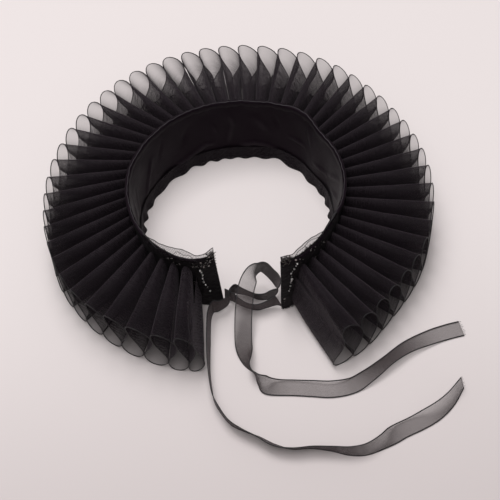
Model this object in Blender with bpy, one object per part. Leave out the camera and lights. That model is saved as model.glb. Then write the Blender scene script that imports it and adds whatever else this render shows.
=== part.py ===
"""A ruff collar: an organza strip set in figure-of-eight flutes round a satin neckband.

Metres, +Z up. The collar stands on its neckband and on the feet of its flutes, at z = 0,
with its front opening towards -Y. The origin is the middle of the collar, on that surface.
Places round the collar are angles in degrees from the front opening, first towards -X.
"""

import math

import bmesh
import bpy
import numpy as np

MM = 0.001

# Cloth and seams
SEAM_GAP = 0.3 * MM
ORGANZA = 1.0 * MM
LACE = 1.0 * MM
RIBBON = 1.0 * MM
RIBBON_WIDTH = 10.0 * MM
RIBBON_STEPS = 3

# Neckband
RING_CENTRE = (-0.4 * MM, -2.6 * MM)
BAND_HEIGHT = 46.0 * MM
BAND_WALL = 1.6 * MM
FOLD_WALL = 2.4 * MM
FOLD_HEIGHT = 3.0 * MM
BAND_COLUMNS = 96
BAND_START = (22.0, 16.0)
BAND_END = (344.8, 344.0)
PLAN_STEP = 0.25

# Organza edge at the foot of the neckband
FRILL_HEIGHT = 9.0 * MM
FRILL_SPREAD = 2.4 * MM
FRILL_WAVE = 1.3 * MM
FRILL_WAVES = 21
FRILL_DRIFT = 1.1
FRILL_DRIFTS = 3
FRILL_COLUMNS = FRILL_WAVES * 6
FRILL_INSET = 2.0

# Ruffle
FLUTES = 50
FIRST_SEAM = 36.0
LAST_SEAM = 333.5
FLUTE_TOP_IN = 40.0 * MM
FLUTE_TOP_OUT = 38.1 * MM
FLUTE_FOOT_IN = 2.4 * MM
FLUTE_FOOT_OUT = ORGANZA / 2
PITCH_IN = 6.4 * MM
PITCH_OUT = 12.1 * MM
BULGE_IN = 0.20
BULGE_OUT = 0.30
TOP_STRETCH = 0.35
STATIONS = (0.0, 0.34, 0.68, 1.0)
LOOP_POINTS = (-0.14, -0.07, -0.022, 0.022, 0.07, 0.14)
FREE_END = 0.86

# Lace ends
LACE_FOOT = 1.0 * MM
LACE_LEFT_END = 62.0
LACE_RIGHT_START = 300.0
LACE_REACH = 8.0
LACE_FADE = 6.0
LACE_STANDOFF = FOLD_WALL / 2 + SEAM_GAP + LACE / 2
LACE_COLUMNS = 18
LACE_ROWS = 6


class Table:
    """Rows of sizes under named columns; at() reads a smooth line through one column."""

    def __init__(self, columns, *rows):
        self.columns = columns.split()
        self.rows = np.array(rows, float)

    def at(self, place, column):
        x = self.rows[:, 0]
        y = self.rows[:, self.columns.index(column)]
        slope = np.gradient(y, x)
        place = np.clip(place, x[0], x[-1])
        i = np.clip(np.searchsorted(x, place) - 1, 0, len(x) - 2)
        step = x[i + 1] - x[i]
        t = (place - x[i]) / step
        first = y[i] * (1 + 2 * t) * (1 - t) ** 2 + slope[i] * step * t * (1 - t) ** 2
        last = y[i + 1] * t * t * (3 - 2 * t) + slope[i + 1] * step * t * t * (t - 1)
        return first + last


# The neckband's plan: radius of its top edge in mm, and how much less its foot has.
BAND_PLAN = Table(
    "round top flare",
    (15, 51.0, -3.5),
    (22, 53.8, -2.5),
    (31, 58.8, 0.0),
    (42, 62.8, 2.5),
    (55, 65.2, 4.5),
    (70, 65.4, 5.5),
    (85, 64.7, 6.2),
    (105, 63.6, 6.2),
    (125, 61.2, 6.0),
    (150, 59.3, 5.6),
    (180, 58.5, 5.6),
    (196, 59.4, 5.6),
    (211, 62.0, 5.2),
    (228, 63.2, 6.4),
    (241, 60.0, 3.8),
    (256, 61.0, 3.4),
    (275, 61.8, 4.4),
    (290, 61.6, 3.4),
    (305, 60.4, 2.0),
    (320, 62.0, 1.0),
    (335, 63.4, 0.0),
    (346, 62.0, -0.6),
)

# The ruffle's free edge: where each flute stands, and the reach of its top and foot in mm.
RUFFLE_EDGE = Table(
    "flute round top foot",
    (-1, 18.0, 104.5, 102.5),
    (0, 24.5, 106.8, 104.5),
    (3, 45.9, 113.4, 108.6),
    (5, 59.4, 116.4, 111.0),
    (8, 77.4, 115.0, 112.8),
    (11, 94.8, 112.6, 110.6),
    (15, 121.2, 110.2, 108.2),
    (20, 152.4, 109.4, 107.8),
    (25, 183.5, 109.6, 108.2),
    (30, 215.6, 111.4, 110.0),
    (34, 240.0, 110.6, 109.8),
    (38, 263.6, 113.2, 112.4),
    (42, 290.0, 113.6, 113.6),
    (46, 315.2, 110.2, 110.6),
    (49, 333.8, 111.9, 112.6),
    (50, 340.5, 111.0, 111.6),
)

# The height in mm of the lace's net edge, which stands above the neckband's fold.
LACE_TOP_LEFT = Table(
    "round top",
    (20, 50.0),
    (27, 47.6),
    (34, 50.2),
    (45, 51.0),
    (55, 50.0),
    (62, 46.6),
)
LACE_TOP_RIGHT = Table(
    "round top",
    (300, 46.6),
    (311, 49.4),
    (323, 51.0),
    (335, 50.0),
    (346, 47.2),
)

# The ties' routes in mm from the ring's centre. "clear" is the height of the ribbon's lower
# side above the surface, and "across" points from one edge of the ribbon to the other.
TIE_LEFT = Table(
    "point x y clear across_x across_y across_z",
    (0, -14.7, -52.5, 4.0, 0.00, 0.00, 1.00),
    (1, -12.4, -54.8, 4.0, 0.00, 0.00, 1.00),
    (2, -14.4, -58.2, 4.0, 0.02, 0.01, 1.00),
    (3, -19.2, -60.8, 4.2, 0.05, 0.06, 1.00),
    (4, -22.9, -61.4, 4.6, -0.05, 0.19, 0.98),
    (5, -25.4, -66.8, 5.0, -0.16, 0.09, 0.96),
    (6, -26.8, -74.3, 5.0, -0.20, 0.02, 0.95),
    (7, -27.9, -82.4, 4.4, -0.22, -0.06, 0.94),
    (8, -28.9, -90.5, 2.9, -0.20, -0.15, 0.94),
    (9, -29.7, -98.6, 1.1, -0.15, -0.15, 0.97),
    (10, -29.9, -108.0, 0.1, -0.13, -0.06, 0.99),
    (11, -29.4, -117.9, 0.1, -0.12, -0.03, 0.99),
    (12, -26.5, -126.5, 0.1, -0.14, -0.07, 0.99),
    (13, -22.2, -134.4, 0.1, -0.18, -0.16, 0.97),
    (14, -15.7, -139.9, 0.1, -0.20, -0.30, 0.93),
    (15, -8.1, -144.9, 0.1, -0.25, -0.38, 0.89),
    (16, -0.1, -151.1, 0.1, -0.26, -0.46, 0.85),
    (17, 9.3, -154.7, 0.1, -0.10, -0.39, 0.91),
    (18, 20.3, -155.5, 0.1, -0.06, -0.34, 0.94),
    (19, 31.0, -157.9, 0.1, -0.05, -0.20, 0.98),
    (20, 40.5, -160.6, 0.1, 0.09, 0.27, 0.96),
    (21, 49.9, -160.7, 0.1, -0.05, 0.70, 0.71),
    (22, 60.2, -156.7, 0.1, -0.37, 0.83, 0.40),
    (23, 70.4, -150.4, 0.1, -0.43, 0.87, 0.24),
    (24, 81.2, -146.4, 0.1, -0.35, 0.85, 0.41),
    (25, 92.6, -142.1, 0.1, -0.40, 0.68, 0.61),
    (26, 101.7, -135.9, 0.1, -0.42, 0.38, 0.83),
    (27, 110.1, -126.8, 0.4, -0.25, 0.14, 0.96),
)
TIE_RIGHT = Table(
    "point x y clear across_x across_y across_z",
    (0, 15.6, -61.4, 3.5, -0.31, 0.10, 0.95),
    (1, 12.9, -60.6, 2.4, -0.28, -0.08, 0.96),
    (2, 8.1, -61.5, 1.1, -0.16, -0.20, 0.97),
    (3, 2.8, -62.0, 0.3, -0.10, -0.23, 0.97),
    (4, -2.2, -60.3, 0.3, -0.07, -0.27, 0.96),
    (5, -6.5, -57.5, 0.8, -0.01, -0.22, 0.98),
    (6, -9.9, -54.3, 1.6, 0.07, -0.15, 0.99),
    (7, -12.2, -52.6, 2.0, -0.00, -0.02, 1.00),
    (8, -9.5, -48.8, 1.7, 0.18, -0.00, 0.98),
    (9, -5.5, -49.7, 0.8, 0.07, -0.21, 0.98),
    (10, -0.8, -52.0, 0.4, -0.11, -0.26, 0.96),
    (11, 3.7, -54.9, 0.5, -0.15, -0.23, 0.96),
    (12, 8.6, -55.9, 1.0, -0.15, -0.18, 0.97),
    (13, 12.7, -54.7, 2.0, -0.25, -0.19, 0.95),
    (14, 16.2, -52.3, 4.2, -0.16, -0.45, 0.88),
    (15, 15.8, -48.1, 6.4, 0.04, -0.50, 0.87),
    (16, 12.7, -44.6, 9.0, 0.01, -0.59, 0.81),
    (17, 9.0, -42.0, 11.4, 0.18, -0.64, 0.75),
    (18, 4.7, -43.2, 11.4, -0.02, 0.02, 1.00),
    (19, 0.6, -48.1, 12.6, -0.76, 0.33, 0.56),
    (20, -2.6, -54.5, 12.2, -0.93, 0.24, 0.26),
    (21, -4.5, -62.2, 11.4, -0.97, 0.19, 0.13),
    (22, -6.0, -68.8, 9.2, -0.98, 0.19, 0.05),
    (23, -7.7, -80.7, 3.8, -0.99, 0.09, -0.10),
    (24, -8.0, -87.8, 1.4, -0.91, -0.04, -0.41),
    (25, -7.4, -95.6, 0.1, -0.45, -0.16, -0.88),
    (26, -5.6, -103.2, 0.1, 0.30, 0.07, -0.95),
    (27, -2.8, -109.5, 0.2, -0.17, 0.06, -0.98),
    (28, 1.2, -112.8, 0.3, -0.48, -0.70, -0.53),
    (29, 7.6, -113.8, 0.1, -0.17, -0.98, -0.14),
    (30, 16.5, -115.1, 0.1, -0.17, -0.98, -0.07),
    (31, 26.4, -117.1, 0.1, -0.19, -0.97, -0.14),
    (32, 37.4, -119.2, 0.1, -0.03, -0.98, -0.21),
    (33, 49.0, -118.0, 0.1, 0.28, -0.92, -0.27),
    (34, 60.7, -112.6, 0.1, 0.43, -0.69, -0.59),
    (35, 72.3, -105.4, 0.1, 0.33, -0.58, -0.74),
    (36, 84.7, -98.0, 0.1, 0.35, -0.84, -0.40),
    (37, 98.6, -92.9, 0.1, 0.29, -0.95, -0.14),
    (38, 109.0, -90.4, 0.1, 0.19, -0.98, -0.09),
    (39, 117.8, -89.1, 0.1, 0.14, -0.99, -0.09),
)


def plan_point(angle, radius):
    """A point of the plan at an angle round the collar, in metres."""
    turn = np.radians(angle)
    x = RING_CENTRE[0] - radius * np.sin(turn)
    y = RING_CENTRE[1] - radius * np.cos(turn)
    return np.stack([x, y], axis=-1)


def band_plan(angle, share):
    """The neckband's middle line in plan, at a share of its height from foot to top."""
    flare = BAND_PLAN.at(angle, "flare") * (1 - share)
    return plan_point(angle, (BAND_PLAN.at(angle, "top") - flare) * MM)


def band_point(angle, height, out):
    """A point beside the neckband's middle line, out from it by a distance."""
    share = height / BAND_HEIGHT
    along = band_plan(angle + PLAN_STEP, share) - band_plan(angle - PLAN_STEP, share)
    along /= np.linalg.norm(along, axis=-1, keepdims=True)
    outward = np.stack([-along[..., 1], along[..., 0]], axis=-1)
    spot = band_plan(angle, share) + outward * np.asarray(out)[..., None]
    return np.concatenate([spot, np.asarray(height)[..., None]], axis=-1)


def new_material(name, colour, roughness, sheen=0.0):
    material = bpy.data.materials.new(name)
    material.use_nodes = True
    shader = material.node_tree.nodes["Principled BSDF"]
    shader.inputs["Base Color"].default_value = (*colour, 1.0)
    shader.inputs["Roughness"].default_value = roughness
    shader.inputs["Metallic"].default_value = 0.0
    shader.inputs["Sheen Weight"].default_value = sheen
    material.diffuse_color = (*colour, 1.0)
    return material


def add_node(name, mesh_data, material):
    """Makes one named object from a bmesh, with its faces pointing out."""
    bmesh.ops.recalc_face_normals(mesh_data, faces=mesh_data.faces)
    bmesh.ops.triangulate(mesh_data, faces=mesh_data.faces)
    mesh = bpy.data.meshes.new(name)
    mesh_data.to_mesh(mesh)
    mesh_data.free()
    mesh.materials.append(material)
    mesh.shade_smooth()
    mesh.set_sharp_from_angle(angle=math.radians(40))
    item = bpy.data.objects.new(name, mesh)
    bpy.context.scene.collection.objects.link(item)
    return item


def loft_sections(sections):
    """A closed body through equal rings of points, with its two ends capped."""
    body = bmesh.new()
    rings = [[body.verts.new(point) for point in section] for section in sections]
    count = len(rings[0])
    for ring, following in zip(rings, rings[1:]):
        for i in range(count):
            j = (i + 1) % count
            body.faces.new((ring[i], ring[j], following[j], following[i]))
    body.faces.new(rings[0])
    body.faces.new(list(reversed(rings[-1])))
    return body


def cloth_wall(front, back):
    """A closed wall between two equal grids of points, column by column."""
    body = bmesh.new()
    columns, rows = front.shape[:2]
    faces = [[[body.verts.new(grid[c, r]) for r in range(rows)] for c in range(columns)]
             for grid in (front, back)]
    for c in range(columns - 1):
        for r in range(rows - 1):
            for side in faces:
                body.faces.new((side[c][r], side[c + 1][r], side[c + 1][r + 1], side[c][r + 1]))
    rim = [(c, 0) for c in range(columns)]
    rim += [(columns - 1, r) for r in range(1, rows)]
    rim += [(c, rows - 1) for c in range(columns - 2, -1, -1)]
    rim += [(0, r) for r in range(rows - 2, 0, -1)]
    for (c, r), (d, s) in zip(rim, rim[1:] + rim[:1]):
        body.faces.new((faces[0][c][r], faces[0][d][s], faces[1][d][s], faces[1][c][r]))
    return body


def band_section():
    """The neckband's section: distance out and height, up the outside and down the inside."""
    half = BAND_WALL / 2
    fold = FOLD_WALL / 2
    shoulder = BAND_HEIGHT - FOLD_HEIGHT
    rise = [0.0, shoulder / 3, shoulder * 2 / 3, shoulder]
    outer = [(half, z) for z in rise]
    outer += [(fold, shoulder + FOLD_HEIGHT * 0.3), (fold, BAND_HEIGHT - FOLD_HEIGHT * 0.25)]
    outer += [(fold * 0.5, BAND_HEIGHT)]
    return outer + [(-out, z) for out, z in reversed(outer)]


def make_neckband(material):
    section = band_section()
    rings = []
    for share in np.linspace(0.0, 1.0, BAND_COLUMNS):
        ring = []
        for out, height in section:
            up = height / BAND_HEIGHT
            start = BAND_START[1] + (BAND_START[0] - BAND_START[1]) * up
            end = BAND_END[1] + (BAND_END[0] - BAND_END[1]) * up
            ring.append(band_point(start + (end - start) * share, height, out))
        rings.append(ring)
    return add_node("neckband", loft_sections(rings), material)


def make_frill(material):
    """The organza edge that stands in waves inside the neckband's foot."""
    share = np.linspace(0.0, 1.0, FRILL_COLUMNS + 1)
    start = BAND_START[1] + FRILL_INSET
    end = BAND_END[1] - FRILL_INSET
    angle = start + (end - start) * share
    drift = FRILL_DRIFT * np.sin(2 * np.pi * FRILL_DRIFTS * share)
    wave = np.sin(2 * np.pi * FRILL_WAVES * share + drift)
    top_out = -(BAND_WALL / 2 + SEAM_GAP + ORGANZA / 2)
    foot_out = top_out - FRILL_SPREAD + FRILL_WAVE * wave
    sides = []
    for offset in (ORGANZA / 2, -ORGANZA / 2):
        foot = band_point(angle, np.zeros_like(angle), foot_out + offset)
        top = band_point(angle, np.full_like(angle, FRILL_HEIGHT), top_out + offset)
        sides.append(np.stack([foot, top], axis=1))
    return add_node("band_frill", cloth_wall(*sides), material)


def offset_line(line, distance):
    """A line beside a line of the section, with its corners drawn out to a point."""
    step = np.diff(line, axis=0)
    step /= np.linalg.norm(step, axis=1, keepdims=True)
    normal = np.stack([-step[:, 1], step[:, 0]], axis=1)
    before = np.vstack([normal[:1], normal])
    after = np.vstack([normal, normal[-1:]])
    corner = before + after
    corner /= np.sum(before * corner, axis=1, keepdims=True)
    return line + corner * distance


def flute_line(station):
    """The strip's middle line at a station: along the seam in flutes, and its height share."""
    places = [k / 2 + d for k in range(-2, 2 * FLUTES + 1) for d in LOOP_POINTS]
    u = np.array([p for p in places if -FREE_END <= p <= FLUTES - 1 + FREE_END])
    bulge = BULGE_IN + (BULGE_OUT - BULGE_IN) * station
    turn = 2 * np.pi * u
    along = u + bulge * np.sin(2 * turn)
    level = np.cos(turn) - TOP_STRETCH * np.sin(turn) ** 2 * (1 + np.cos(turn)) / 2
    flat = np.array([2 * np.pi * LOOP_POINTS[3], math.pi + 2 * np.pi * LOOP_POINTS[3]])
    top, foot = np.cos(flat) - TOP_STRETCH * np.sin(flat) ** 2 * (1 + np.cos(flat)) / 2
    return along, (level - foot) / (top - foot)


def lace_cover(angle):
    """1 over the lace ends, 0 where the ruffle is sewn straight to the neckband."""
    left = np.clip((LACE_LEFT_END + LACE_REACH - angle) / LACE_FADE, 0, 1)
    right = np.clip((angle - LACE_RIGHT_START + LACE_REACH) / LACE_FADE, 0, 1)
    return np.maximum(left, right)


def ruffle_side(offset):
    """One face of the fluted strip: a grid of points, stations outwards."""
    grid = []
    for station in STATIONS:
        along, share = flute_line(station)
        pitch = PITCH_IN + (PITCH_OUT - PITCH_IN) * station
        low = FLUTE_FOOT_IN if station == 0 else FLUTE_FOOT_OUT
        high = FLUTE_TOP_IN + (FLUTE_TOP_OUT - FLUTE_TOP_IN) * station
        line = np.stack([along * pitch, low + (high - low) * share], axis=1)
        moved = offset_line(line, offset)
        flute = moved[:, 0] / pitch
        height = moved[:, 1]
        seam = FIRST_SEAM + (LAST_SEAM - FIRST_SEAM) * flute / (FLUTES - 1)
        plain = BAND_WALL / 2 + SEAM_GAP
        laced = LACE_STANDOFF + LACE / 2 + SEAM_GAP
        out = plain + (laced - plain) * lace_cover(seam)
        inner = band_point(seam, height, out)[:, :2]
        reach = RUFFLE_EDGE.at(flute, "foot")
        reach = reach + (RUFFLE_EDGE.at(flute, "top") - reach) * height / FLUTE_TOP_OUT
        outer = plan_point(RUFFLE_EDGE.at(flute, "round"), reach * MM)
        spot = inner + (outer - inner) * station
        grid.append(np.concatenate([spot, height[:, None]], axis=1))
    return np.stack(grid, axis=1)


def make_ruffle(material):
    wall = cloth_wall(ruffle_side(ORGANZA / 2), ruffle_side(-ORGANZA / 2))
    return add_node("ruffle", wall, material)


def make_lace(name, edge, start, end, material):
    """A lace end over the neckband's outer face, between two slanting ends."""
    sides = []
    for offset in (LACE / 2, -LACE / 2):
        columns = []
        for share in np.linspace(0.0, 1.0, LACE_COLUMNS):
            top = edge.at(start[0] + (end[0] - start[0]) * share, "top") * MM
            height = LACE_FOOT + (top - LACE_FOOT) * np.linspace(0.0, 1.0, LACE_ROWS)
            up = height / BAND_HEIGHT
            first = start[1] + (start[0] - start[1]) * up
            last = end[1] + (end[0] - end[1]) * up
            angle = first + (last - first) * share
            columns.append(band_point(angle, height, np.full_like(height, LACE_STANDOFF + offset)))
        sides.append(np.array(columns))
    return add_node(name, cloth_wall(*sides), material)


def unit(vectors):
    return vectors / np.linalg.norm(vectors, axis=-1, keepdims=True)


def ribbon_frames(route):
    """Points along a tie, with the direction of its width and of its thickness."""
    last = len(route.rows) - 1
    place = np.linspace(0.0, last, last * RIBBON_STEPS + 1)
    x = RING_CENTRE[0] + route.at(place, "x") * MM
    y = RING_CENTRE[1] + route.at(place, "y") * MM
    clear = route.at(place, "clear") * MM
    along = unit(np.gradient(np.stack([x, y, clear], axis=1), axis=0))
    across = np.stack([route.at(place, "across_" + axis) for axis in "xyz"], axis=1)
    width = unit(across - along * np.sum(across * along, axis=1, keepdims=True))
    thick = np.cross(along, width)
    half = np.abs(width[:, 2]) * RIBBON_WIDTH / 2 + np.abs(thick[:, 2]) * RIBBON / 2
    return np.stack([x, y, clear + half], axis=1), width, thick


def make_tie(name, route, material):
    middle, width, thick = ribbon_frames(route)
    sections = []
    for spot, across, through in zip(middle, width, thick):
        ring = []
        for side, face in ((1, 1), (-1, 1), (-1, -1), (1, -1)):
            ring.append(spot + across * side * RIBBON_WIDTH / 2 + through * face * RIBBON / 2)
        sections.append(ring)
    return add_node(name, loft_sections(sections), material)


def main():
    for item in list(bpy.data.objects):
        bpy.data.objects.remove(item)
    satin = new_material("black_satin", (0.012, 0.011, 0.013), 0.45)
    organza = new_material("black_organza", (0.020, 0.018, 0.021), 0.55, sheen=0.3)
    lace = new_material("black_lace", (0.010, 0.009, 0.010), 0.7)
    ribbon = new_material("organza_ribbon", (0.060, 0.056, 0.060), 0.5, sheen=0.3)
    make_neckband(satin)
    make_frill(organza)
    make_ruffle(organza)
    left_end = (LACE_LEFT_END, LACE_LEFT_END)
    right_start = (LACE_RIGHT_START, LACE_RIGHT_START)
    make_lace("lace_left", LACE_TOP_LEFT, BAND_START, left_end, lace)
    make_lace("lace_right", LACE_TOP_RIGHT, right_start, BAND_END, lace)
    make_tie("tie_left", TIE_LEFT, ribbon)
    make_tie("tie_right", TIE_RIGHT, ribbon)


main()
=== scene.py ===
# %% [markdown]
# # A ruff collar in black organza
# The collar is a satin neckband that carries one long strip of organza, folded into fifty
# upright flutes. Both ends have a little beaded lace and a loose ribbon tie. This lesson
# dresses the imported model: it loads the solids as a fixed frame, and then makes each piece of
# cloth again as a thin, sheer or shiny version of its solid.

# %% Load the frame
import math

import bmesh
import bpy
import numpy as np
from mathutils import Matrix, Vector


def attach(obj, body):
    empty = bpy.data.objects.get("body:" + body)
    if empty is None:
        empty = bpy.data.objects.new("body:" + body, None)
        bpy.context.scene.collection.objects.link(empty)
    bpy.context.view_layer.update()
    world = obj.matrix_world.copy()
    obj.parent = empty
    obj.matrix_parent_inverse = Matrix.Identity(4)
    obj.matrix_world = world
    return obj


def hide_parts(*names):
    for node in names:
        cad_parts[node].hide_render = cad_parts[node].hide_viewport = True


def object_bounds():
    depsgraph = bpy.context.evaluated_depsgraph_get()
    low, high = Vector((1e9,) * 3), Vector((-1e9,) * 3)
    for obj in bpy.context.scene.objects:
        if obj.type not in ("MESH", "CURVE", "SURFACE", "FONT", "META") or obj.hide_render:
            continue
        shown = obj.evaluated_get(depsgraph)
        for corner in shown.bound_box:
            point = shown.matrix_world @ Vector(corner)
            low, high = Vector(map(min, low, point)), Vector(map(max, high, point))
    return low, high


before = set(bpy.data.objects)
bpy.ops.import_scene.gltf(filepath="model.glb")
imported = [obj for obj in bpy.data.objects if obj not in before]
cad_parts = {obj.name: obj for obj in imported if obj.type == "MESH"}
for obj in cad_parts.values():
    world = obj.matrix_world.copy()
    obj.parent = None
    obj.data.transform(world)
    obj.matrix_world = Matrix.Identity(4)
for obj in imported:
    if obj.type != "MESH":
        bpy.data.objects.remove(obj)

MM = 0.001
cad_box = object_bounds()
size = [round((high - low) / MM, 1) for low, high in zip(*cad_box)]
print("solids:", sorted(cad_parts), "box in mm:", size)

# %% [markdown]
# ## Where things are
# Places round the collar are angles in degrees from the front opening, first towards the left
# tie, and sizes are in millimetres. A short table with named columns holds the few places
# where a size changes, and a smooth line is read through its rows. A spline object could do
# the same, but a table is easier to read and to change.

# %% A table of sizes


class Table:
    """Rows of sizes under named columns; at() reads a smooth line through one column."""

    def __init__(self, columns, *rows):
        self.columns = columns.split()
        self.rows = np.array(rows, float)

    def at(self, place, column):
        x = self.rows[:, 0]
        y = self.rows[:, self.columns.index(column)]
        slope = np.gradient(y, x)
        place = np.clip(place, x[0], x[-1])
        i = np.clip(np.searchsorted(x, place) - 1, 0, len(x) - 2)
        step = x[i + 1] - x[i]
        t = (place - x[i]) / step
        first = y[i] * (1 + 2 * t) * (1 - t) ** 2 + slope[i] * step * t * (1 - t) ** 2
        last = y[i + 1] * t * t * (3 - 2 * t) + slope[i + 1] * step * t * t * (t - 1)
        return first + last


RING_CENTRE = (-0.4 * MM, -2.6 * MM)
BAND_HEIGHT = 46.0 * MM
BAND_START = (22.0, 16.0)
BAND_END = (344.8, 344.0)
PLAN_STEP = 0.25

BAND_PLAN = Table(
    "round top flare",
    (15, 51.0, -3.5),
    (22, 53.8, -2.5),
    (31, 58.8, 0.0),
    (42, 62.8, 2.5),
    (55, 65.2, 4.5),
    (70, 65.4, 5.5),
    (85, 64.7, 6.2),
    (105, 63.6, 6.2),
    (125, 61.2, 6.0),
    (150, 59.3, 5.6),
    (180, 58.5, 5.6),
    (196, 59.4, 5.6),
    (211, 62.0, 5.2),
    (228, 63.2, 6.4),
    (241, 60.0, 3.8),
    (256, 61.0, 3.4),
    (275, 61.8, 4.4),
    (290, 61.6, 3.4),
    (305, 60.4, 2.0),
    (320, 62.0, 1.0),
    (335, 63.4, 0.0),
    (346, 62.0, -0.6),
)


def plan_point(angle, radius):
    """A point of the plan at an angle round the collar, in metres."""
    turn = np.radians(angle)
    x = RING_CENTRE[0] - radius * np.sin(turn)
    y = RING_CENTRE[1] - radius * np.cos(turn)
    return np.stack([x, y], axis=-1)


def band_plan(angle, share):
    """The neckband's middle line in plan, at a share of its height from foot to top."""
    flare = BAND_PLAN.at(angle, "flare") * (1 - share)
    return plan_point(angle, (BAND_PLAN.at(angle, "top") - flare) * MM)


def band_point(angle, height, out):
    """A point beside the neckband's middle line, out from it by a distance."""
    angle, height, out = np.broadcast_arrays(angle, height, out)
    share = height / BAND_HEIGHT
    along = band_plan(angle + PLAN_STEP, share) - band_plan(angle - PLAN_STEP, share)
    along = along / np.linalg.norm(along, axis=-1, keepdims=True)
    outward = np.stack([-along[..., 1], along[..., 0]], axis=-1)
    spot = band_plan(angle, share) + outward * out[..., None]
    return np.concatenate([spot, height[..., None]], axis=-1)


ring = band_plan(np.linspace(BAND_START[0], BAND_END[0], 300), 1.0)
print("neckband, along its top edge: %.0f mm" % (np.linalg.norm(np.diff(ring, axis=0), axis=1).sum() / MM))

# %% [markdown]
# ## Camera, floor and light
# The picture is taken from about a metre away with a long lens, 55 degrees above the table and
# a little to the left of straight on. The camera is placed by those angles and looks at a
# point just in front of the collar's middle. A pale floor, one wide soft light from behind on
# the left, a second one in front on the left and an even pale sky give the soft shadows of a
# small studio.

# %% Camera
CAMERA_AZIMUTH = math.radians(-7.0)
CAMERA_ELEVATION = math.radians(55.0)
CAMERA_DISTANCE = 1.008
LOOK_AT = Vector((4.2, -21.0, 0.0)) * MM
LENS = 120.96

back = Vector((
    math.sin(CAMERA_AZIMUTH) * math.cos(CAMERA_ELEVATION),
    -math.cos(CAMERA_AZIMUTH) * math.cos(CAMERA_ELEVATION),
    math.sin(CAMERA_ELEVATION),
))
camera = bpy.data.objects.new("camera", bpy.data.cameras.new("camera"))
bpy.context.scene.collection.objects.link(camera)
camera.location = Vector((*RING_CENTRE, 0.0)) + back * CAMERA_DISTANCE
camera.rotation_euler = (LOOK_AT - camera.location).to_track_quat("-Z", "Y").to_euler()
camera.data.lens = LENS
camera.data.sensor_width = 36.0
bpy.context.scene.camera = camera
print("camera at", [round(c, 3) for c in camera.location])

# %% Floor and light
FLOOR_SIZE = 6.0
# The floor's two colours below carry painted light and shade: paler at the back and darker in front, where
# the lamps' light falls off.
FLOOR_BACK_WITH_PAINTED_LIGHT = (0.80, 0.732, 0.727)
FLOOR_FRONT_WITH_PAINTED_SHADE = (0.60, 0.537, 0.535)
PAINTED_FALLOFF_RUN = (-0.25, 0.02)
KEY_PLACE = Vector((-0.30, 0.70, 2.3))
KEY_SIZE = 1.2
KEY_POWER = 31.0
FILL_PLACE = Vector((-0.5, -0.6, 2.8))
FILL_SIZE = 2.0
FILL_POWER = 34.0
SKY_STRENGTH = 0.25


def add_object(name, mesh):
    item = bpy.data.objects.new(name, mesh)
    bpy.context.scene.collection.objects.link(item)
    return item


def settle(piece, node=None):
    """Hangs a piece on the collar's one body, with the solid that it replaces."""
    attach(piece, "root")
    if node:
        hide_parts(node)
    return piece


def plain_mesh(name, points, edges=(), faces=()):
    mesh = bpy.data.meshes.new(name)
    mesh.from_pydata([tuple(p) for p in points], edges, faces)
    return mesh


def mark(mesh, name, values, kind="FLOAT"):
    """Stores one value for each point of a mesh."""
    layer = mesh.attributes.new(name, kind, "POINT")
    layer.data.foreach_set("vector" if kind == "FLOAT_VECTOR" else "value", values)


half = FLOOR_SIZE / 2
corners = [(-half, -half, 0), (half, -half, 0), (half, half, 0), (-half, half, 0)]
floor_mesh = plain_mesh("floor", corners, faces=[(0, 1, 2, 3)])
floor = add_object("floor", floor_mesh)
floor_paint = bpy.data.materials.new("pale_floor")
floor_paint.use_nodes = True
floor_shader = floor_paint.node_tree.nodes["Principled BSDF"]
floor_shader.inputs["Roughness"].default_value = 0.9
floor_mesh.materials.append(floor_paint)


def add_softbox(name, place, size, power):
    lamp = bpy.data.objects.new(name, bpy.data.lights.new(name, "AREA"))
    lamp.data.size = size
    lamp.data.energy = power
    lamp.location = place
    lamp.rotation_euler = (-place).to_track_quat("-Z", "Y").to_euler()
    bpy.context.scene.collection.objects.link(lamp)


add_softbox("key_light", KEY_PLACE, KEY_SIZE, KEY_POWER)
add_softbox("fill_light", FILL_PLACE, FILL_SIZE, FILL_POWER)
sky = bpy.data.worlds.new("sky")
sky.use_nodes = True
sky.node_tree.nodes["Background"].inputs["Color"].default_value = (1.0, 0.985, 0.98, 1.0)
sky.node_tree.nodes["Background"].inputs["Strength"].default_value = SKY_STRENGTH
bpy.context.scene.world = sky
bpy.context.scene.view_settings.view_transform = "Standard"
print("floor, two soft lights and sky are in place")

# %% [markdown]
# ## Node trees written as formulas
# Geometry Nodes and shaders are built from the same small Math nodes. A tiny helper class
# lets a script write them as formulas: adding two fields adds a Math node and links it. The
# same tree could be wired by hand in the editor, but a formula is shorter and can be read.

# %% A field helper


class Field:
    """A value that flows through a node tree. Sums and products of fields add Math nodes."""

    def __init__(self, tree, socket):
        self.tree = tree
        self.socket = socket

    def math(self, operation, *others):
        node = self.tree.nodes.new("ShaderNodeMath")
        node.operation = operation
        for value, entry in zip((self, *others), node.inputs):
            feed(self.tree, value, entry)
        return Field(self.tree, node.outputs[0])

    def clamp(self, low, high):
        return self.math("MAXIMUM", low).math("MINIMUM", high)

    def __add__(self, other):
        return self.math("ADD", other)

    def __sub__(self, other):
        return self.math("SUBTRACT", other)

    def __mul__(self, other):
        return self.math("MULTIPLY", other)

    def __truediv__(self, other):
        return self.math("DIVIDE", other)


def feed(tree, value, socket):
    """Links a field to a socket, or sets the socket's own value."""
    if isinstance(value, Field):
        tree.links.new(value.socket, socket)
    else:
        socket.default_value = value


def add_node(tree, kind, output=0, settings=(), **entries):
    """Adds a node, sets its options, feeds its inputs by name and returns one output."""
    node = tree.nodes.new(kind)
    for option, value in dict(settings).items():
        setattr(node, option, value)
    for name, value in entries.items():
        wanted = name.replace("_", " ").lower()
        entry = next(s for s in node.inputs if s.name.lower() == wanted and s.enabled)
        feed(tree, value, entry)
    outputs = [s for s in node.outputs if s.enabled]
    return Field(tree, outputs[output])


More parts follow.
